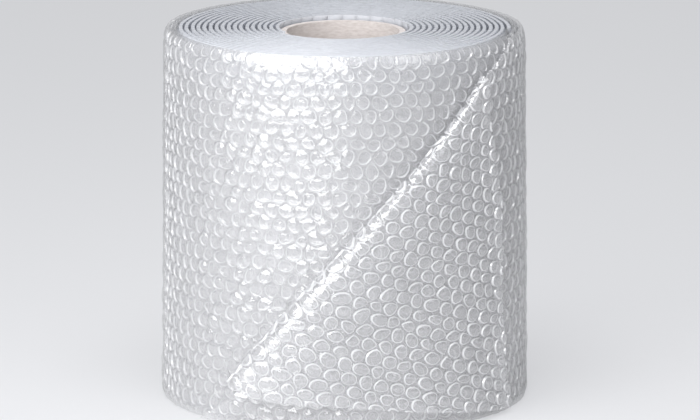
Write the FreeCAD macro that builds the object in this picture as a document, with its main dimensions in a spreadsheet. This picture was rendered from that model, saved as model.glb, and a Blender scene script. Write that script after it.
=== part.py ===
import FreeCAD, Part
import os
from math import atan, ceil, cos, degrees, hypot, pi, radians, sin, sqrt, tan
import Sketcher

# A roll of bubble film on a cardboard core, standing on its end. The film is
# wound with its flat side out. Its loose end comes round the right side to the
# front, where the corner is turned over and lies against the roll with the
# bubbles showing. The axis of the roll is Z, the floor is at Z = 0, and the
# front of the roll faces -Y.
#
# Places on the loose end are given as on the film laid out flat: a distance
# around the roll from its front line, positive to the right, and a height.

doc = FreeCAD.newDocument("bubble_film_roll")
sheet = doc.addObject("Spreadsheet::Sheet", "Sizes")

# Driving dimensions in millimetres, with angles in degrees
sizes = {
    "web_width": 250,            # width of the film, which is the roll's height
    "core_bore": 76,             # three-inch cardboard core
    "core_wall": 4,
    "core_recess": 3,            # the core stops short of the film at the top
    "core_fit": 0.15,            # film to core, on the radius
    "turn_pitch": 4.13,          # from one turn of the film to the next
    "turn_gap": 0.3,             # air between two turns
    "turn_count": 19,
    "film_base": 0.8,            # flat side of the film, below the bubbles
    "bubble_pitch": 10.5,        # centre to centre, in staggered rows
    "bubble_crown": 0.72,        # flattened top of a bubble, as a share of its foot
    "fold_head_around": 106,     # upper end of the fold
    "fold_head_drop": 21,        # upper end of the fold, below the rim
    "fold_angle": 51,            # slope of the fold, from level
    "fold_bow": 12,              # the fold sags this far to the left of straight
    "fold_head_radius": 1,       # the fold is nearly flat at its upper end
    "fold_foot_radius": 9,       # and opens into a loose curl at its foot
    "fold_foot_rise": 27,        # the curl ends this far above the floor
    "film_end_left": 108,        # from there the film's edge runs down to here
    "fold_root": 2,              # overlap of the curl with the film that it leaves
    "fold_sink": 0.15,           # and how far its flat side lies below the film's
    "shoulder_around": 150,      # where the turned edge meets the rim
    "flap_side_around": 134,     # corner of the flap on its right side
    "flap_side_drop": 107,       # and its depth below the rim
    "flap_corner_around": 132,   # lowest corner of the flap
    "flap_corner_rise": 2,       # and its height over the floor
    "flap_settle": 20,           # length over which the flap comes down to the roll
    "end_direction": 80,         # the loose end leaves the wound turns here
}
for row, (alias, value) in enumerate(sizes.items(), start=1):
    sheet.set("A%d" % row, alias)
    sheet.set("B%d" % row, str(value))
    sheet.setAlias("B%d" % row, alias)
doc.recompute()


def size(alias):
    return float(sheet.get(alias))


FLATS_PER_TURN = 24     # the inner turns are wound in short flats
ARCS_PER_TURN = 12      # the outermost turn is smooth
FOLD_STEPS = 9          # points along the fold in the outline of the loose end
BEND_STEPS = 4          # flats round the curl
LEAST_CELL = 0.04       # share of a cell below which a cut cell is left off
SNAP = 0.2              # a point this near a cutting line counts as on it

# Cardboard core: a wound tube with square ends
core = doc.addObject("PartDesign::Body", "CardboardCore")
core.Label = "cardboard_core"
ground = [plane for plane in core.Origin.OriginFeatures if plane.Role == "XY_Plane"][0]
ring = core.newObject("Sketcher::SketchObject", "CoreRing")
ring.AttachmentSupport = (ground, [""])
ring.MapMode = "FlatFace"
up = FreeCAD.Vector(0, 0, 1)
core_diameters = {
    "bore": "Sizes.core_bore",
    "outside": "Sizes.core_bore + 2 * Sizes.core_wall",
}
for name, diameter in core_diameters.items():
    circle = ring.addGeometry(Part.Circle(FreeCAD.Vector(0, 0, 0), up, 1), False)
    ring.addConstraint(Sketcher.Constraint("Coincident", circle, 3, -1, 1))
    drive = ring.addConstraint(Sketcher.Constraint("Diameter", circle, 2))
    ring.renameConstraint(drive, name)
    ring.setExpression("Constraints." + name, diameter)
tube = core.newObject("PartDesign::Pad", "CoreTube")
tube.Profile = ring
tube.setExpression("Length", "Sizes.web_width - Sizes.core_recess")

# The winding is an Archimedean spiral. A place on it is the number of turns
# from the inner end, and the film ends where its loose edge reaches the floor.
film_thickness = size("turn_pitch") - size("turn_gap")
winding_start = (size("core_bore") / 2 + size("core_wall") + size("core_fit")) / cos(pi / FLATS_PER_TURN)
roll_radius = winding_start + size("turn_pitch") * size("turn_count") + film_thickness
fold_head_height = size("web_width") - size("fold_head_drop")
fold_slope = radians(size("fold_angle"))
fold_rise = fold_head_height - size("fold_foot_rise")
fold_foot_around = size("fold_head_around") - fold_rise / tan(fold_slope)
film_end_angle = -size("film_end_left") / roll_radius


def turns_at(angle):
    return size("turn_count") - (angle - film_end_angle) / (2 * pi)


def angle_at(turns):
    return film_end_angle + 2 * pi * (size("turn_count") - turns)


def place(angle, radius, height):
    return FreeCAD.Vector(radius * sin(angle), -radius * cos(angle), height)


def spiral_point(turns, side):
    # side is 0 on the inner face of the film and 1 on its outer face
    radius = winding_start + size("turn_pitch") * turns + side * film_thickness
    return place(angle_at(turns), radius, 0)


def flat_line(stations, side):
    points = [spiral_point(turns, side) for turns in stations]
    return [Part.makeLine(a, b) for a, b in zip(points, points[1:])]


def arc_line(start, end, side):
    count = ceil((end - start) * ARCS_PER_TURN)
    step = (end - start) / count
    arcs = []
    for number in range(count):
        ends = [spiral_point(start + step * (number + part), side) for part in (0, 0.5, 1)]
        arcs.append(Part.Arc(*ends).toShape())
    return arcs


def film_wall(inner_face, outer_face):
    # Closes two lines of edges, one on each face of the film, and stands them up
    starts = [edges[0].firstVertex().Point for edges in (inner_face, outer_face)]
    ends = [edges[-1].lastVertex().Point for edges in (inner_face, outer_face)]
    caps = [Part.makeLine(*starts), Part.makeLine(*ends)]
    outline = Part.Wire(Part.__sortEdges__(inner_face + outer_face + caps))
    return Part.Face(outline).extrude(FreeCAD.Vector(0, 0, size("web_width")))


# Wound turns: flats whose corners lie behind each other, up to the last full
# turn, then arcs round to where the loose end leaves
loose_from = turns_at(radians(size("end_direction")))
smooth_from = loose_from - 1
flats = int(smooth_from * FLATS_PER_TURN)
stations = [smooth_from - number / FLATS_PER_TURN for number in range(flats, -1, -1)]
faces = [flat_line(stations, side) + arc_line(smooth_from, loose_from, side) for side in (0, 1)]
wound_turns = doc.addObject("Part::Feature", "WoundTurns")
wound_turns.Shape = film_wall(*faces)

# Loose end: the rest of the wall, cut along the fold and, above the fold, along
# the shoulder that runs up to the rim. The film is cut square through. It is
# slack, so that the fold sags a little to the left between its two ends.
def sagged(around, height):
    share = min(max(height / fold_head_height, 0), 1)
    return around - 4 * size("fold_bow") * share * (1 - share)


def outer_radius(angle):
    return winding_start + size("turn_pitch") * turns_at(angle) + film_thickness


def across_wall(around, height):
    # A short line through the wall, towards the axis of the roll
    angle = sagged(around, height) / roll_radius
    radius = outer_radius(angle)
    reach = 2 * size("turn_pitch")
    return place(angle, radius - reach, height), place(angle, radius + reach, height)


lap = film_wall(*[arc_line(loose_from, size("turn_count"), side) for side in (0, 1)])
past_end = 0.1
run = fold_foot_around + size("film_end_left")
start_around = -size("film_end_left") - past_end * run
cut_line = [across_wall(start_around, -past_end * size("fold_foot_rise"))]
for number in range(FOLD_STEPS + 1):
    share = number / FOLD_STEPS
    around = fold_foot_around + share * (size("fold_head_around") - fold_foot_around)
    cut_line.append(across_wall(around, size("fold_foot_rise") + share * fold_rise))
rise = (1 + past_end) * size("fold_head_drop")
run = (1 + past_end) * (size("shoulder_around") - size("fold_head_around"))
cut_line.append(across_wall(size("fold_head_around") + run, fold_head_height + rise))
strips = []
for here, after in zip(cut_line, cut_line[1:]):
    near = Part.makeLine(here[0], after[0])
    far = Part.makeLine(here[1], after[1])
    strips.append(Part.makeRuledSurface(near, far))
cut_pieces = lap.generalFuse([Part.Shell(strips)])[0].Solids
loose_end = doc.addObject("Part::Feature", "LooseEnd")
loose_end.Shape = min(cut_pieces, key=lambda solid: solid.CenterOfMass.z)

# Folded corner. It is laid out flat first, as faces whose points are given by
# the distance along the fold from its head, the distance across it, and the
# lift from the flat side of the film. The faces are then cut where the film
# bends and carried round the curl and down the flap.
curl_length = fold_rise / sin(fold_slope)
radius_growth = (size("fold_foot_radius") - size("fold_head_radius")) / curl_length


def curl_radius(along):
    return size("fold_head_radius") + radius_growth * along


def beside_fold(around, drop):
    # From a place on the roll to distances along and across the fold
    aside = around - size("fold_head_around")
    below = drop - size("fold_head_drop")
    along = below * sin(fold_slope) - aside * cos(fold_slope)
    across = below * cos(fold_slope) + aside * sin(fold_slope)
    return along, across + pi * curl_radius(along)


def folded_place(along, across, lift):
    # The section across the fold gives a distance to the right of the fold and
    # a height over the roll, and the direction in which the bubbles rise
    curl = curl_radius(along)
    bend = across / curl
    if across < 0:
        section = (-across, 0)
        normal = (0, -1)
    elif bend < pi:
        section = (-curl * sin(bend), curl - curl * cos(bend))
        normal = (-sin(bend), -cos(bend))
    else:
        flap = across - pi * curl
        settle = size("flap_settle") + 2 * pi * curl
        part = min(flap / settle, 1)
        fall = 2 * curl - size("fold_sink") - size("turn_gap")
        slope = atan(fall * 6 * part * (1 - part) / settle)
        section = (flap, 2 * curl - fall * part * part * (3 - 2 * part))
        normal = (sin(slope), cos(slope))
    aside = section[0] + lift * normal[0]
    over_roll = section[1] + lift * normal[1] - size("fold_sink")
    around = size("fold_head_around") - along * cos(fold_slope) + aside * sin(fold_slope)
    height = fold_head_height - along * sin(fold_slope) - aside * cos(fold_slope)
    angle = sagged(around, height) / roll_radius
    return place(angle, outer_radius(angle) + over_roll, height)


def off_line(distance):
    return 0 if abs(distance) < SNAP else distance


def kept_part(face, side):
    # The part of a flat face where side is not negative
    kept = []
    for here, after in zip(face, face[1:] + face[:1]):
        if side(here) >= 0:
            kept.append(here)
        if side(here) * side(after) < 0:
            low, high = sorted((here, after))
            cut = side(low) / (side(low) - side(high))
            kept.append(tuple(a + cut * (b - a) for a, b in zip(low, high)))
    return kept


def left_of(start, end):
    run = (end[0] - start[0], end[1] - start[1])

    def side(point):
        turned = run[0] * (point[1] - start[1]) - run[1] * (point[0] - start[0])
        return off_line(turned / hypot(*run))

    return side


def area(cell):
    return sum(a[0] * b[1] - b[0] * a[1] for a, b in zip(cell, cell[1:] + cell[:1])) / 2


def bubble_cells(border):
    # Six-sided cells in rows that run around the roll, each with a note of
    # whether it is whole
    pitch = size("bubble_pitch")
    corner = pitch / sqrt(3)
    reach = ceil(2 * max(hypot(*point) for point in border) / pitch)
    turns = [fold_slope + pi / 6 + pi / 3 * number for number in range(6)]
    for row in range(-reach, reach):
        for number in range(-reach, reach):
            step = pitch * (number + (row % 2) / 2)
            rise = pitch * row * sqrt(3) / 2
            centre_along = step * cos(fold_slope) - rise * sin(fold_slope)
            centre_across = step * sin(fold_slope) + rise * cos(fold_slope)
            cell = [(centre_along + corner * cos(t), centre_across + corner * sin(t)) for t in turns]
            full = area(cell)
            for start, end in zip(border, border[1:] + border[:1]):
                cell = kept_part(cell, left_of(start, end))
            if len(cell) > 2 and area(cell) > LEAST_CELL * full:
                yield cell, area(cell) > full * (1 - LEAST_CELL / 100)


def raised(cell, lift):
    return [(along, across, lift) for along, across in cell]


def ring_faces(lower, upper):
    pairs = list(zip(lower, upper))
    return [[a, b, d, c] for (a, c), (b, d) in zip(pairs, pairs[1:] + pairs[:1])]


def bubble(cell):
    # A flattened bubble: sloping sides up to a smaller six-sided top
    centre = [sum(values) / len(cell) for values in zip(*cell)]
    crown = [tuple(c + size("bubble_crown") * (p - c) for c, p in zip(centre, point)) for point in cell]
    top = raised(crown, film_thickness)
    return ring_faces(raised(cell, size("film_base")), top) + [top]


def flat_sheet(border):
    # Every face of the sheet before it is folded: the flat side, the bubbles
    # or the plain film of cells that were cut through, and the cut edge
    faces = []
    edges = {}
    for cell, whole in bubble_cells(border):
        faces.append(raised(cell, 0)[::-1])
        faces += bubble(cell) if whole else [raised(cell, size("film_base"))]
        for ends in zip(cell, cell[1:] + cell[:1]):
            key = [tuple(round(value, 5) for value in point) for point in ends]
            edges[tuple(key)] = ends
    for (start, end), ends in edges.items():
        if (end, start) not in edges:
            faces.append(raised(ends, 0) + raised(ends, size("film_base"))[::-1])
    return faces


def cut_at_bends(faces):
    for number in range(BEND_STEPS + 1):
        bend = pi * number / BEND_STEPS

        def beyond_line(point):
            return off_line(point[1] - bend * curl_radius(point[0]))

        def before_line(point):
            return -beyond_line(point)

        halves = []
        for face in faces:
            sides = [beyond_line(point) for point in face]
            if min(sides) < 0 < max(sides):
                halves += [kept_part(face, beyond_line), kept_part(face, before_line)]
            else:
                halves.append(face)
        faces = halves
    return faces


def folded_sheet(border):
    triangles = []
    for face in cut_at_bends(flat_sheet(border)):
        points = [folded_place(*point) for point in face]
        triangles += [[points[0], a, b, points[0]] for a, b in zip(points[1:], points[2:])]
    solid = Part.Solid(Part.Shell([Part.Face(Part.makePolygon(outline)) for outline in triangles]))
    return solid if solid.Volume > 0 else solid.reversed()


flap_border = [
    (0, -size("fold_root")),
    (curl_length, -size("fold_root")),
    (curl_length, pi * curl_radius(curl_length)),
    beside_fold(size("flap_corner_around"), size("web_width") - size("flap_corner_rise")),
    beside_fold(size("flap_side_around"), size("flap_side_drop")),
    (0, pi * curl_radius(0)),
]
folded_corner = doc.addObject("Part::Feature", "FoldedCorner")
folded_corner.Shape = folded_sheet(flap_border)

# The film is one piece from its inner end to the folded corner
film_parts = [wound_turns, loose_end, folded_corner]
film = doc.addObject("Part::Feature", "BubbleFilm")
film.Label = "bubble_film"
film.Shape = wound_turns.Shape.fuse([part.Shape for part in film_parts[1:]])
doc.recompute()

pieces = [core, film]
for item in doc.Objects:
    if "Invalid" in item.State or "Error" in item.State:
        raise RuntimeError(item.Label + " could not be built")
for piece in pieces:
    if piece.Shape.isNull() or not piece.Shape.isValid() or len(piece.Shape.Solids) != 1:
        raise RuntimeError(piece.Label + " is not one valid solid")
if film.Shape.Volume < 0.99 * sum(part.Shape.Volume for part in film_parts):
    raise RuntimeError("the film has lost its loose end or its folded corner")

os.makedirs("parts", exist_ok=True)
for piece in pieces:
    piece.Shape.exportStep(os.path.join("parts", piece.Label + ".step"))
    volume = piece.Shape.Volume / 1000
    print("%s: %.1f cubic centimetres" % (piece.Label, volume))
print("film ends %.1f degrees left of the front" % -degrees(film_end_angle))
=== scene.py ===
import math
import bpy
import numpy as np
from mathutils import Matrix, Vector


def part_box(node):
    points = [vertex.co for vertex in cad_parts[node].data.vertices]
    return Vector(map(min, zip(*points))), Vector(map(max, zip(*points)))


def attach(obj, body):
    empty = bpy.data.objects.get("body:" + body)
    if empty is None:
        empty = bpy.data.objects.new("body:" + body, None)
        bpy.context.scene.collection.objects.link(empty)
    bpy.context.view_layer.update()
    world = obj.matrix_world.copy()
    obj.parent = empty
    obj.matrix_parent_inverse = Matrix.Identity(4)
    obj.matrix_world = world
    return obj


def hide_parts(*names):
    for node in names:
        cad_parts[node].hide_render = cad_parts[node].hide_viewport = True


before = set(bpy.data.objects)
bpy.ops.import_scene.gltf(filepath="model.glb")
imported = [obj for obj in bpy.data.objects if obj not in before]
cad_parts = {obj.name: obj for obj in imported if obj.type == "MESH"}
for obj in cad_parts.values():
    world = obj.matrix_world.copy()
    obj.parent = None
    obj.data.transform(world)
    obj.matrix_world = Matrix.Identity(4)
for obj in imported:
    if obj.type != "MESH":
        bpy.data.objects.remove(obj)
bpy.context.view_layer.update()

bpy.ops.object.select_all(action="DESELECT")

# The core: a spirally wound card tube, bare and matt, cut square at both ends.
# The film is wound on it, and its bore shows at the top of the roll.
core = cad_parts["cardboard_core"]
core_low, core_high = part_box("cardboard_core")
core_radius = (core_high.x - core_low.x) / 2
card_light = (0.80, 0.745, 0.72, 1)
card_dark = (0.67, 0.61, 0.58, 1)


def node_material(name):
    material = bpy.data.materials.new(name)
    material.use_nodes = True
    return material, material.node_tree, material.node_tree.nodes["Principled BSDF"]


def ramp(tree, low, high, start, end):
    steps = tree.nodes.new("ShaderNodeValToRGB")
    for stop, position, colour in zip(steps.color_ramp.elements, (start, end), (low, high)):
        stop.position = position
        stop.color = colour
    return steps


card, tree, shader = node_material("core_card")
place = tree.nodes.new("ShaderNodeTexCoord")
fibre_scale = tree.nodes.new("ShaderNodeMapping")
fibre_scale.inputs["Scale"].default_value = (1, 1, 3)
fibres = tree.nodes.new("ShaderNodeTexNoise")
fibres.inputs["Scale"].default_value = 260
fibres.inputs["Detail"].default_value = 6
fibre_colour = ramp(tree, card_dark, card_light, 0.3, 0.62)
fibre_bump = tree.nodes.new("ShaderNodeBump")
fibre_bump.inputs["Strength"].default_value = 0.25
fibre_bump.inputs["Distance"].default_value = 0.0004
tree.links.new(place.outputs["Object"], fibre_scale.inputs["Vector"])
tree.links.new(fibre_scale.outputs["Vector"], fibres.inputs["Vector"])
tree.links.new(fibres.outputs["Fac"], fibre_colour.inputs["Fac"])
tree.links.new(fibre_colour.outputs["Color"], shader.inputs["Base Color"])
tree.links.new(fibres.outputs["Fac"], fibre_bump.inputs["Height"])
tree.links.new(fibre_bump.outputs["Normal"], shader.inputs["Normal"])
shader.inputs["Roughness"].default_value = 0.85
core.data.materials.clear()
core.data.materials.append(card)

# The film's web: a flat film with a second one sealed to it that is formed
# into staggered rows of round air bubbles. One web makes the whole roll. It is
# laid out flat here: X runs around the roll, Y up, and Z is the lift of a point
# from the flat side towards the tops of the bubbles.
bubble_pitch = 0.0105
row_pitch = bubble_pitch * math.sqrt(3) / 2
web_width = 0.25
fold_head = (0.106, 0.229)
flat_seal = 0.0011
bubble_seal = 0.0014
# Rings of the two sides of a cell, from the seal to the middle: radius, lift
flat_rings = [(0.0036, 0.0003)]
bubble_rings = [(0.0049, 0.0017), (0.0045, 0.0029), (0.0027, 0.0035)]
plain_rings = [(0.0046, 0.0030)]


def cell_side(corners, seal, rings, middle):
    # Half of a six-sided cell, drawn in from its seal ring by ring
    radius = bubble_pitch / math.sqrt(3)
    bpy.ops.mesh.primitive_circle_add(vertices=6, radius=radius, location=(0, 0, seal), rotation=(0, 0, 0))
    bpy.ops.object.transform_apply()
    bpy.ops.object.mode_set(mode="EDIT")
    bpy.ops.mesh.select_all(action="SELECT")
    if corners == 12:
        bpy.ops.mesh.subdivide()
        radius *= (1 + math.cos(math.pi / 6)) / 2
    lift = seal
    for ring_radius, ring_lift in rings:
        bpy.ops.mesh.extrude_edges_move()
        bpy.ops.transform.resize(value=(ring_radius / radius, ring_radius / radius, 1))
        bpy.ops.transform.tosphere(value=1)
        bpy.ops.transform.translate(value=(0, 0, ring_lift - lift))
        radius, lift = ring_radius, ring_lift
    bpy.ops.mesh.edge_face_add()
    bpy.ops.mesh.poke()
    bpy.ops.object.mode_set(mode="OBJECT")
    side = bpy.context.object
    centre = min(side.data.vertices, key=lambda vertex: vertex.co.xy.length)
    centre.co.z = middle
    return side


def joined(pieces):
    bpy.ops.object.select_all(action="DESELECT")
    for piece in pieces:
        piece.select_set(True)
    bpy.context.view_layer.objects.active = pieces[0]
    bpy.ops.object.join()
    return pieces[0]


def flat_web(sides, first, last, low_row, high_row):
    # The cell and its staggered neighbour, repeated along and up the web, and
    # the two sides closed to each other round the edge
    cell = joined(sides)
    bpy.ops.object.duplicate_move(TRANSFORM_OT_translate={"value": (bubble_pitch / 2, row_pitch, 0)})
    web = joined([cell, bpy.context.object])
    bpy.ops.transform.translate(
        value=(fold_head[0] + first * bubble_pitch, fold_head[1] + low_row * row_pitch, 0)
    )
    bpy.ops.object.transform_apply()
    counts = (last - first + 1, (high_row - low_row + 1) // 2)
    steps = ((bubble_pitch, 0, 0), (0, 2 * row_pitch, 0))
    for count, step in zip(counts, steps):
        rows = web.modifiers.new("rows", "ARRAY")
        rows.use_relative_offset = False
        rows.use_constant_offset = True
        rows.constant_offset_displace = step
        rows.count = count
        bpy.ops.object.modifier_apply(modifier="rows")
    bpy.ops.object.mode_set(mode="EDIT")
    bpy.ops.mesh.select_all(action="SELECT")
    bpy.ops.mesh.remove_doubles(threshold=0.00003)
    bpy.ops.mesh.select_mode(type="EDGE")
    bpy.ops.mesh.select_all(action="DESELECT")
    bpy.ops.mesh.select_non_manifold()
    bpy.ops.mesh.bridge_edge_loops()
    bpy.ops.mesh.select_mode(type="FACE")
    bpy.ops.mesh.select_all(action="SELECT")
    bpy.ops.mesh.normals_make_consistent(inside=False)
    bpy.ops.object.mode_set(mode="OBJECT")
    return web


def full_cell():
    return [
        cell_side(12, flat_seal, flat_rings, 0.0),
        cell_side(12, bubble_seal, bubble_rings, 0.0037),
    ]


def plain_cell():
    return [cell_side(6, flat_seal, [], 0.0002), cell_side(6, bubble_seal, plain_rings, 0.0035)]


# Every cell is a little different: some are full and some are slack, and the
# rows have drifted a little out of line
chance = np.random.default_rng(41).random((6, 64, 1400))
row_offset, column_offset = 40, 80
drift_field = np.random.default_rng(7).uniform(-1, 1, (2, 48, 1400))
drift_step = 0.0078
drift_offset = (70, 6)
drift = 0.0016
bubble_reach = 0.0051
cell_corner = 0.00606
lean_reach, lean = 0.0052, 0.0030
rim_margin, rim_reach, rim_lift = 0.0005, 0.006, 0.0034


def points_of(web):
    points = np.empty(3 * len(web.data.vertices))
    web.data.vertices.foreach_get("co", points)
    return points.reshape(-1, 3)


def own_cell(around, height):
    # The cell that each point belongs to, and the way from its middle
    row = np.floor((height - fold_head[1]) / row_pitch)
    best = np.full(len(around), 1.0)
    found = np.zeros((4, len(around)))
    for candidate in (row, row + 1):
        shift = np.mod(candidate, 2) / 2
        column = np.round((around - fold_head[0]) / bubble_pitch - shift)
        out_x = around - fold_head[0] - (column + shift) * bubble_pitch
        out_y = height - fold_head[1] - candidate * row_pitch
        distance = np.hypot(out_x, out_y)
        nearer = distance < best - 1e-7
        best = np.where(nearer, distance, best)
        here = np.stack([candidate + row_offset, column + column_offset, out_x, out_y])
        found = np.where(nearer, here, found)
    return found[0].astype(int), found[1].astype(int), found[2], found[3], best


def drifted(around, height):
    # A soft random field, read between its four nearest values
    x = around / drift_step + drift_offset[0]
    y = height / drift_step + drift_offset[1]
    i, j = np.floor(x).astype(int), np.floor(y).astype(int)
    u, v = x - i, y - j
    u, v = u * u * (3 - 2 * u), v * v * (3 - 2 * v)
    low = drift_field[:, j, i] * (1 - u) + drift_field[:, j, i + 1] * u
    high = drift_field[:, j + 1, i] * (1 - u) + drift_field[:, j + 1, i + 1] * u
    return drift * (low * (1 - v) + high * v)


def filled(web):
    # Lets air in and out of the cells, and notes for the material how far each
    # point is from the middle of its cell and which side it is on
    around, height, lift = points_of(web).T.copy()
    row, column, out_x, out_y, distance = own_cell(around, height)
    full, puff, lean_x, lean_y, wide, oval = chance[:, row, column]
    from_rim = np.minimum(height, web_width - height)
    near_rim = np.clip((from_rim - rim_margin) / rim_reach, 0, 1)
    on_top = lift > (flat_seal + bubble_seal) / 2
    inside = distance < bubble_reach
    rise = (0.55 + 0.47 * full ** 0.5) * (0.8 + 0.2 * near_rim)
    sag = 0.25 + 0.95 * puff
    lift = np.where(
        on_top, bubble_seal + (lift - bubble_seal) * rise, flat_seal + (lift - flat_seal) * sag
    )
    at_rim = rim_lift * np.clip(1 - near_rim * 1.2, 0, 1)
    lift = np.where(on_top, np.maximum(lift, at_rim), lift)
    spread = np.where(on_top & inside, 0.86 + 0.19 * wide, 1)
    stretch = np.where(on_top & inside, 0.16 * (oval - 0.5), 0)
    inner = np.where(inside, np.clip(1 - distance / lean_reach, 0, 1), 0) * lean
    move_x, move_y = drifted(around, height)
    new_around = around + out_x * (spread * (1 + stretch) - 1) + inner * (lean_x - 0.5) + move_x
    up = out_y * (spread * (1 - stretch) - 1) + inner * (lean_y - 0.5) + move_y
    places = np.stack([new_around, height + up * near_rim, lift], axis=1)
    web.data.vertices.foreach_set("co", places.ravel())
    notes = {"middle": distance / cell_corner, "bubble_side": on_top}
    for name, values in notes.items():
        note = web.data.attributes.new(name, "FLOAT", "POINT")
        note.data.foreach_set("value", values.astype(np.float32))
    web.data.update()
    return web


cut_tolerance = 0.00002


def cut(web, point, away, fill=True, clear=True):
    # Cuts the flat web square through, and closes the cut edge
    bpy.ops.object.select_all(action="DESELECT")
    web.select_set(True)
    bpy.context.view_layer.objects.active = web
    bpy.ops.object.mode_set(mode="EDIT")
    bpy.ops.mesh.select_all(action="SELECT")
    bpy.ops.mesh.bisect(
        plane_co=(point[0], point[1], 0), plane_no=(away[0], away[1], 0),
        use_fill=False, clear_outer=clear, threshold=cut_tolerance,
    )
    if fill:
        bpy.ops.mesh.select_all(action="SELECT")
        bpy.ops.mesh.fill_holes(sides=0)
    bpy.ops.object.mode_set(mode="OBJECT")


def trimmed(web):
    cut(web, (0, 0), (0, -1))
    cut(web, (0, web_width), (0, 1))
    return web


# The winding, with the same sizes as the solid
turn_pitch = 0.00413
film_thickness = 0.00383
winding_start = (core_radius + 0.00015) / math.cos(math.pi / 24)
turn_count = 19
roll_radius = winding_start + turn_pitch * turn_count + film_thickness
fold_slope = math.radians(51)
fold_bow = 0.012
film_end = -0.108
loose_angle = math.radians(80)
spiral = turn_pitch / (2 * math.pi)
foot_slack = 0.0026
top_rounding, top_round_height = 0.0020, 0.010
foot_rounding, foot_round_height = 0.0012, 0.006


def outer_radius(angle):
    turns = turn_count - (angle - film_end / roll_radius) / (2 * math.pi)
    return winding_start + turn_pitch * turns + film_thickness


def angle_of(around):
    # The loose end keeps its distances on the outermost turn, and the wound
    # turns keep theirs along the spiral
    start = outer_radius(loose_angle)
    run = np.maximum(around - loose_angle * roll_radius, 0)
    wound = loose_angle + (start - np.sqrt(start ** 2 - 2 * spiral * run)) / spiral
    return np.where(run > 0, wound, around / roll_radius)


def sag_at(height):
    share = np.clip(height / fold_head[1], 0, 1)
    return 4 * fold_bow * share * (1 - share)


def wavy(around, height):
    # The film never lies quite smooth: soft swells, under half a millimetre
    swell = np.sin(around * 61 + height * 37) + np.sin(around * 23 - height * 71 + 1.3)
    return np.abs(0.00014 * (swell + np.sin(height * 118 + around * 9 + 0.6)))


def stood(angle, radius, height):
    # The roll is a little looser at its foot, and its rims are rounded over
    size = (radius / roll_radius) ** 2
    looser = foot_slack * (1 - height / web_width)
    above = (height - (web_width - top_round_height)) / top_round_height
    rounded = top_rounding * np.clip(above, 0, 1) ** 2
    below = (foot_round_height - height) / foot_round_height
    rounded += foot_rounding * np.clip(below, 0, 1) ** 2
    radius = radius + size * (looser - rounded)
    return np.stack([radius * np.sin(angle), -radius * np.cos(angle), height], axis=1)


def on_roll(points, sag=0, calm=1):
    around, height, lift = points.T
    angle = angle_of(around - sag)
    return stood(angle, outer_radius(angle) - lift - calm * wavy(around, height), height)


def finish_film(web, places, name, material):
    web.data.vertices.foreach_set("co", places.ravel())
    web.data.update()
    web.name = name
    web.data.materials.clear()
    web.data.materials.append(material)
    bpy.ops.object.select_all(action="DESELECT")
    web.select_set(True)
    bpy.context.view_layer.objects.active = web
    # The winding mirrors the web, so its faces are turned out again
    bpy.ops.object.mode_set(mode="EDIT")
    bpy.ops.mesh.select_all(action="SELECT")
    bpy.ops.mesh.flip_normals()
    bpy.ops.object.mode_set(mode="OBJECT")
    bpy.ops.object.shade_smooth_by_angle(angle=math.radians(38))
    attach(web, "root")
    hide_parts("bubble_film")


# Clear plastic film is seen through where it lies flat. Where the side of a bubble stands steep, more film
# lies in the way, and the thin white ring there is partly painted highlight that stands in for the light
# the steep wall reflects. All of it is a little glossy.
clear_film, tree, shader = node_material("clear_bubble_film")
shader.inputs["Base Color"].default_value = (0.86, 0.862, 0.88, 1)
shader.inputs["Roughness"].default_value = 0.07
shader.inputs["IOR"].default_value = 2.0
shader.inputs["Specular IOR Level"].default_value = 1.0
middle = tree.nodes.new("ShaderNodeAttribute")
middle.attribute_name = "middle"
bubble_side = tree.nodes.new("ShaderNodeAttribute")
bubble_side.attribute_name = "bubble_side"
# Cover by distance from the cell's middle: fairly clear on the top, a thin white ring of painted highlight
# on the steep wall, and clearest at the seal
ring_highlight = tree.nodes.new("ShaderNodeValToRGB")
ring_highlight.color_ramp.interpolation = "EASE"
ring_highlight_stops = [(0.0, 0.26), (0.64, 0.22), (0.72, 0.85), (0.78, 0.85), (0.84, 0.10)]
while len(ring_highlight.color_ramp.elements) < len(ring_highlight_stops):
    ring_highlight.color_ramp.elements.new(0.5)
for stop, (position, value) in zip(ring_highlight.color_ramp.elements, ring_highlight_stops):
    stop.position = position
    stop.color = (value, value, value, 1)
cover_side = tree.nodes.new("ShaderNodeMix")
cover_side.inputs[2].default_value = 0.22
facing = tree.nodes.new("ShaderNodeLayerWeight")
facing.inputs["Blend"].default_value = 0.35
place = tree.nodes.new("ShaderNodeTexCoord")
creases = tree.nodes.new("ShaderNodeTexNoise")
creases.inputs["Scale"].default_value = 210
creases.inputs["Detail"].default_value = 2
crease_bump = tree.nodes.new("ShaderNodeBump")
crease_bump.inputs["Strength"].default_value = 0.5
crease_bump.inputs["Distance"].default_value = 0.0012
tree.links.new(place.outputs["Object"], creases.inputs["Vector"])
tree.links.new(creases.outputs["Fac"], crease_bump.inputs["Height"])
tree.links.new(crease_bump.outputs["Normal"], shader.inputs["Normal"])
clear_shader = tree.nodes.new("ShaderNodeBsdfTransparent")
film_shader = tree.nodes.new("ShaderNodeMixShader")
tree.links.new(middle.outputs["Fac"], ring_highlight.inputs["Fac"])
tree.links.new(bubble_side.outputs["Fac"], cover_side.inputs[0])
tree.links.new(ring_highlight.outputs["Color"], cover_side.inputs[3])
tree.links.new(cover_side.outputs[0], film_shader.inputs["Fac"])
tree.links.new(clear_shader.outputs["BSDF"], film_shader.inputs[1])
tree.links.new(shader.outputs["BSDF"], film_shader.inputs[2])
gloss = tree.nodes.new("ShaderNodeBsdfGlossy")
gloss.inputs["Roughness"].default_value = 0.13
gleam = tree.nodes.new("ShaderNodeMath")
gleam.operation = "MULTIPLY_ADD"
gleam.inputs[1].default_value = 0.10
gleam.inputs[2].default_value = 0.07
glossy_film = tree.nodes.new("ShaderNodeMixShader")
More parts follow.
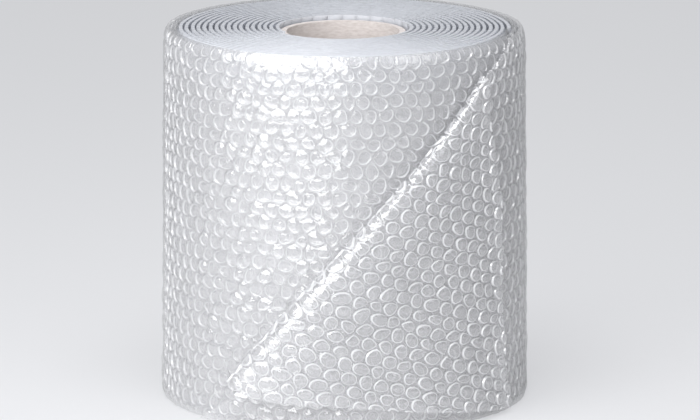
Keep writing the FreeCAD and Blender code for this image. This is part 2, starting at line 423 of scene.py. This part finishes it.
tree.links.new(crease_bump.outputs["Normal"], gloss.inputs["Normal"])
tree.links.new(facing.outputs["Facing"], gleam.inputs[0])
tree.links.new(gleam.outputs["Value"], glossy_film.inputs["Fac"])
tree.links.new(film_shader.outputs["Shader"], glossy_film.inputs[1])
tree.links.new(gloss.outputs["BSDF"], glossy_film.inputs[2])
tree.links.new(glossy_film.outputs["Shader"], tree.nodes["Material Output"].inputs["Surface"])

# The outermost turn, whose flat side is out, and the turn beneath it. Both are
# clear bubble film, and only the winding holds them.
lowest_row, highest_row = -26, 3
for name, cell, first, last in (
    ("outer_turn_right", full_cell, 7, 42),
    ("outer_turn_left", full_cell, 43, 78),
    ("second_turn", plain_cell, 79, 150),
):
    web = trimmed(filled(flat_web(cell(), first, last, lowest_row, highest_row)))
    finish_film(web, on_roll(points_of(web)), name, clear_film)

# The ends of the inner turns, which show at the rims of the roll, where the
# edges of the film stand close together and look white. They are wound on the
# core, turn on turn.
first_inner, last_inner = 151, 951
rim_film, tree, shader = node_material("film_edges")
shader.inputs["Base Color"].default_value = (0.90, 0.92, 0.97, 1)
shader.inputs["Roughness"].default_value = 0.2
place = tree.nodes.new("ShaderNodeTexCoord")
creases = tree.nodes.new("ShaderNodeTexNoise")
creases.inputs["Scale"].default_value = 260
edge_bump = tree.nodes.new("ShaderNodeBump")
edge_bump.inputs["Strength"].default_value = 0.5
edge_bump.inputs["Distance"].default_value = 0.001
clear_shader = tree.nodes.new("ShaderNodeBsdfTransparent")
edge_shader = tree.nodes.new("ShaderNodeMixShader")
edge_shader.inputs["Fac"].default_value = 0.72
tree.links.new(place.outputs["Object"], creases.inputs["Vector"])
tree.links.new(creases.outputs["Fac"], edge_bump.inputs["Height"])
tree.links.new(edge_bump.outputs["Normal"], shader.inputs["Normal"])
tree.links.new(clear_shader.outputs["BSDF"], edge_shader.inputs[1])
tree.links.new(shader.outputs["BSDF"], edge_shader.inputs[2])
tree.links.new(edge_shader.outputs["Shader"], tree.nodes["Material Output"].inputs["Surface"])
for name, low_row, high_row in (
    ("inner_turns_top", highest_row - 3, highest_row),
    ("inner_turns_bottom", lowest_row, lowest_row + 1),
):
    web = trimmed(filled(flat_web(plain_cell(), first_inner, last_inner, low_row, high_row)))
    finish_film(web, on_roll(points_of(web)), name, rim_film)

# Between the rims the inner turns can't be told apart. They are one long strip of film, wound the same
# way, that shows pale through the outer two turns. Its grey is painted shade: the film within is as pale
# as the rest, and is darkened for the light that the outer turns and their bubbles keep from it.
strip_low, strip_high = 0.005, 0.244
strip_start, strip_length = 1.695, 8.40
strip_lift, strip_thickness = 0.0012, 0.0013
bpy.ops.mesh.primitive_grid_add(x_subdivisions=900, y_subdivisions=1, size=1)
strip = bpy.context.object
points = points_of(strip)
around = (points[:, 0] + 0.5) * strip_length + strip_start
height = np.where(points[:, 1] > 0, strip_high, strip_low)
laid = np.stack([around, height, np.full(len(around), strip_lift)], axis=1)
strip.data.vertices.foreach_set("co", on_roll(laid).ravel())
strip.data.update()
wall = strip.modifiers.new("wall", "SOLIDIFY")
wall.thickness = strip_thickness
wall.offset = -1
bpy.ops.object.modifier_apply(modifier="wall")
bpy.ops.object.mode_set(mode="EDIT")
bpy.ops.mesh.select_all(action="SELECT")
bpy.ops.mesh.normals_make_consistent(inside=False)
bpy.ops.object.mode_set(mode="OBJECT")
shaded_massed_film, tree, shader = node_material("massed_film_painted_shade")
# Painted shade: a grey that stands in for the dimmer light within the roll
shader.inputs["Base Color"].default_value = (0.66, 0.662, 0.68, 1)
shader.inputs["Roughness"].default_value = 0.4
place = tree.nodes.new("ShaderNodeTexCoord")
bubbles = tree.nodes.new("ShaderNodeTexVoronoi")
bubbles.inputs["Scale"].default_value = 95
bubble_bump = tree.nodes.new("ShaderNodeBump")
bubble_bump.inputs["Strength"].default_value = 0.6
bubble_bump.inputs["Distance"].default_value = 0.001
tree.links.new(place.outputs["Object"], bubbles.inputs["Vector"])
tree.links.new(bubbles.outputs["Distance"], bubble_bump.inputs["Height"])
tree.links.new(bubble_bump.outputs["Normal"], shader.inputs["Normal"])
strip.name = "inner_turns"
strip.data.materials.clear()
strip.data.materials.append(shaded_massed_film)
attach(strip, "root")
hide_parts("bubble_film")

# The loose end, with its corner turned over. The corner is rolled back on
# itself in a curl that is tight at its head and slack at its foot, and then
# lies against the roll with the bubbles out. Both are one web, so they are cut
# from the same flat web, on the two sides of the fold.
head_radius, foot_radius = 0.001, 0.009
foot_rise = 0.027
shoulder = (0.150, web_width)
flap_foot = (0.132, 0.002)
flap_side = (0.134, 0.143)
flap_settle, flap_sink = 0.020, 0.0003
sag_end, sag_fade = 0.168, 0.06
calm_reach = 0.01
bend_steps = 6
curl_length = (fold_head[1] - foot_rise) / math.sin(fold_slope)
along_way = (-math.cos(fold_slope), -math.sin(fold_slope))
across_way = (-math.sin(fold_slope), math.cos(fold_slope))


def curl_radius(along):
    return head_radius + (foot_radius - head_radius) / curl_length * along


def on_web(along, across):
    return tuple(fold_head[i] + along * along_way[i] + across * across_way[i] for i in (0, 1))


def flap_corner(around, height):
    # A corner of the flap where it lies on the roll, brought back to the web
    aside = around - fold_head[0]
    below = fold_head[1] - height
    along = below * math.sin(fold_slope) - aside * math.cos(fold_slope)
    across = below * math.cos(fold_slope) + aside * math.sin(fold_slope)
    return on_web(along, across + math.pi * curl_radius(along))


def cut_between(web, start, end, fill=True, clear=True):
    # Keeps what is on the left of the line from start to end
    cut(web, start, (end[1] - start[1], start[0] - end[0]), fill, clear)


def copied(web):
    bpy.ops.object.select_all(action="DESELECT")
    web.select_set(True)
    bpy.ops.object.duplicate()
    return bpy.context.selected_objects[0]


head = on_web(0, 0)
foot = on_web(curl_length, 0)
corner = filled(flat_web(full_cell(), -46, 6, lowest_row, highest_row))
lap = trimmed(copied(corner))
tail = copied(lap)
cut_between(lap, shoulder, head)
cut(lap, head, across_way, False)
cut(lap, foot, along_way, False)
cut_between(tail, foot, (film_end, 0))
cut(tail, foot, (-along_way[0], -along_way[1]), False)

outline = [
    foot,
    on_web(curl_length, math.pi * foot_radius),
    flap_corner(*flap_foot),
    flap_corner(*flap_side),
    on_web(0, math.pi * head_radius),
    head,
]
# The outline runs clockwise on the web, so each of its edges is taken in the
# other direction, which keeps the inside
for start, end in zip(outline, outline[1:]):
    cut_between(corner, end, start)
cut(corner, head, (-across_way[0], -across_way[1]), False)
for number in range(1, bend_steps + 1):
    bend = math.pi * number / bend_steps
    bend_head = on_web(0, bend * head_radius)
    bend_foot = on_web(curl_length, bend * foot_radius)
    cut_between(corner, bend_head, bend_foot, False, False)

loose = joined([lap, tail, corner])
bpy.ops.object.mode_set(mode="EDIT")
bpy.ops.mesh.select_all(action="SELECT")
bpy.ops.mesh.remove_doubles(threshold=0.000004)
bpy.ops.mesh.fill_holes(sides=0)
bpy.ops.mesh.delete_loose()
bpy.ops.mesh.select_mode(type="FACE")
bpy.ops.mesh.select_all(action="DESELECT")
bpy.ops.mesh.select_face_by_sides(number=6, type="GREATER")
bpy.ops.mesh.quads_convert_to_tris()
bpy.ops.mesh.select_all(action="SELECT")
bpy.ops.mesh.normals_make_consistent(inside=False)
bpy.ops.object.mode_set(mode="OBJECT")
laid = points_of(loose)
around, height, lift = laid.T
from_head = (around - fold_head[0], height - fold_head[1])
along = from_head[0] * along_way[0] + from_head[1] * along_way[1]
across = from_head[0] * across_way[0] + from_head[1] * across_way[1]
curl = curl_radius(along)
bend = across / curl
settle = flap_settle + 2 * math.pi * curl
lying = across - math.pi * curl
part = np.clip(lying / settle, 0, 1)
fall = 2 * curl - flap_sink
slope = np.arctan(fall * 6 * part * (1 - part) / settle)
aside = np.where(bend < math.pi, -(curl + lift) * np.sin(bend), lying + lift * np.sin(slope))
over = np.where(
    bend < math.pi,
    curl - (curl + lift) * np.cos(bend),
    2 * curl - fall * part ** 2 * (3 - 2 * part) + lift * np.cos(slope),
)
turned_around = fold_head[0] - along * math.cos(fold_slope) + aside * math.sin(fold_slope)
turned_height = fold_head[1] - along * math.sin(fold_slope) - aside * math.cos(fold_slope)
turned_angle = (turned_around - sag_at(turned_height)) / roll_radius
turned = stood(turned_angle, outer_radius(turned_angle) + over, turned_height)
# The loose end's sag dies out towards the turns that it leaves
sag = sag_at(height) * np.clip((sag_end - around) / sag_fade, 0, 1)
lapped = on_roll(laid, sag, np.clip(-across / calm_reach, 0, 1))
# A cut may leave a point past its line by the cut's tolerance
folded = (across > 0) & (along < curl_length + 1.5 * cut_tolerance)
finish_film(loose, np.where(folded[:, None], turned, lapped), "loose_end", clear_film)

# A pale floor, with a broad soft light from the front left, one from above and
# a weaker one from the right
floor_material, tree, shader = node_material("studio_floor")
shader.inputs["Base Color"].default_value = (0.86, 0.86, 0.87, 1)
shader.inputs["Roughness"].default_value = 0.9
paper = tree.nodes.new("ShaderNodeEmission")
paper.inputs["Color"].default_value = (0.93, 0.94, 0.97, 1)
paper.inputs["Strength"].default_value = 0.86
seen = tree.nodes.new("ShaderNodeLightPath")
lit = tree.nodes.new("ShaderNodeMath")
lit.operation = "MULTIPLY"
lit.inputs[1].default_value = 0.6
floor_shader = tree.nodes.new("ShaderNodeMixShader")
tree.links.new(seen.outputs["Is Camera Ray"], lit.inputs[0])
tree.links.new(lit.outputs["Value"], floor_shader.inputs["Fac"])
tree.links.new(shader.outputs["BSDF"], floor_shader.inputs[1])
tree.links.new(paper.outputs["Emission"], floor_shader.inputs[2])
tree.links.new(floor_shader.outputs["Shader"], tree.nodes["Material Output"].inputs["Surface"])
bpy.ops.mesh.primitive_plane_add(size=40, location=(0, 0, -0.0006))
floor = bpy.context.object
floor.name = "floor"
floor.data.materials.append(floor_material)

world = bpy.data.worlds.new("studio")
bpy.context.scene.world = world
world.use_nodes = True
world.node_tree.nodes["Background"].inputs["Color"].default_value = (0.96, 0.975, 1, 1)
world.node_tree.nodes["Background"].inputs["Strength"].default_value = 0.34
lit_height = 0.12


def area_light(name, azimuth, climb, distance, width, height, power, colour):
    away = math.cos(climb) * distance
    light = bpy.data.lights.new(name, "AREA")
    light.shape = "RECTANGLE"
    light.size = width
    light.size_y = height
    light.energy = power
    light.color = colour
    lamp = bpy.data.objects.new(name, light)
    bpy.context.scene.collection.objects.link(lamp)
    rise = lit_height + math.sin(climb) * distance
    lamp.location = (away * math.sin(azimuth), -away * math.cos(azimuth), rise)
    lamp.rotation_euler = (math.pi / 2 - climb, 0, azimuth)


area_light("key", math.radians(-33), math.radians(20), 1.3, 1.5, 0.7, 13.5, (0.99, 0.995, 1))
area_light("top", math.radians(-6), math.radians(72), 1.4, 0.9, 0.9, 11, (0.98, 0.985, 1))
area_light("fill", math.radians(45), math.radians(25), 1.6, 0.8, 0.8, 2.1, (0.98, 0.985, 1))

eye_distance = 4
aim_side, aim_height = 0.0047, 0.124
camera = bpy.data.cameras.new("camera")
camera.sensor_width = 36
camera.lens = 304.4
eye = bpy.data.objects.new("camera", camera)
bpy.context.scene.collection.objects.link(eye)
climb = math.radians(12)
eye_height = aim_height + eye_distance * math.sin(climb)
eye.location = (aim_side, -eye_distance * math.cos(climb), eye_height)
eye.rotation_euler = (math.pi / 2 - climb, 0, 0)
bpy.context.scene.camera = eye
bpy.context.scene.view_settings.view_transform = "Standard"
bpy.context.scene.cycles.transparent_max_bounces = 32
